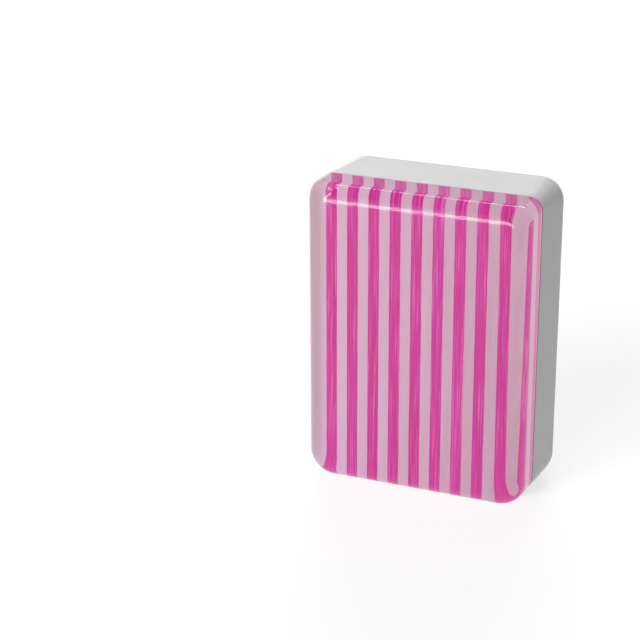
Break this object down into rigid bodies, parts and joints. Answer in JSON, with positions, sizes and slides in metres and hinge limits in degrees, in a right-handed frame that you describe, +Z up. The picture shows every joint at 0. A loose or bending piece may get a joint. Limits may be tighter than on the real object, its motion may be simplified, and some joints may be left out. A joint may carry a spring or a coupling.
{
  "type": "mahjong tile",
  "caption": "Upright mahjong tile: a white block with an engraved, painted face, bonded to a clear back with rounded edges over a striped print.",
  "frame": {"origin": "on the standing surface, under the middle of the tile", "axes": "+Z up along the height, +X along the width to the right as the clear back is seen, +Y through the depth from the clear back to the engraved face"},
  "size_m": [0.022, 0.012, 0.03],
  "materials": {
    "white_block": "polished white acrylic, soft edges",
    "clear_acrylic": "polished clear acrylic",
    "clear_bond": "clear cured adhesive",
    "stripe_ink": "screen printed magenta ink with fine streaks",
    "pale_print": "pale pink printed sheet",
    "bond_film": "milky adhesive film",
    "black_enamel": "glossy black paint, slightly uneven",
    "green_enamel": "glossy dark green paint, slightly uneven",
    "red_enamel": "glossy red paint, slightly uneven"
  },
  "bodies": {
    "root": {"face_block": "white_block", "ring_enamel": "black_enamel", "petal_enamel_1": "green_enamel", "petal_enamel_2": "green_enamel", "petal_enamel_3": "green_enamel", "petal_enamel_4": "green_enamel", "petal_enamel_5": "green_enamel", "petal_enamel_6": "green_enamel", "petal_enamel_7": "green_enamel", "petal_enamel_8": "green_enamel", "seed_enamel_1": "green_enamel", "seed_enamel_2": "green_enamel", "seed_enamel_3": "green_enamel", "seed_enamel_4": "green_enamel", "seed_enamel_5": "green_enamel", "seed_enamel_6": "green_enamel", "seed_enamel_7": "green_enamel", "seed_enamel_8": "green_enamel", "hub_enamel": "green_enamel", "blossom_enamel_1": "red_enamel", "blossom_enamel_2": "red_enamel", "blossom_enamel_3": "red_enamel", "blossom_enamel_4": "red_enamel", "bond_film": "bond_film", "pattern_sheet": "pale_print", "stripe_ink_1": "stripe_ink", "stripe_ink_2": "stripe_ink", "stripe_ink_3": "stripe_ink", "stripe_ink_4": "stripe_ink", "stripe_ink_5": "stripe_ink", "stripe_ink_6": "stripe_ink", "stripe_ink_7": "stripe_ink", "stripe_ink_8": "stripe_ink", "stripe_ink_9": "stripe_ink", "stripe_ink_10": "stripe_ink", "clear_bond": "clear_bond", "clear_back": "clear_acrylic"}
  },
  "joints": []
}
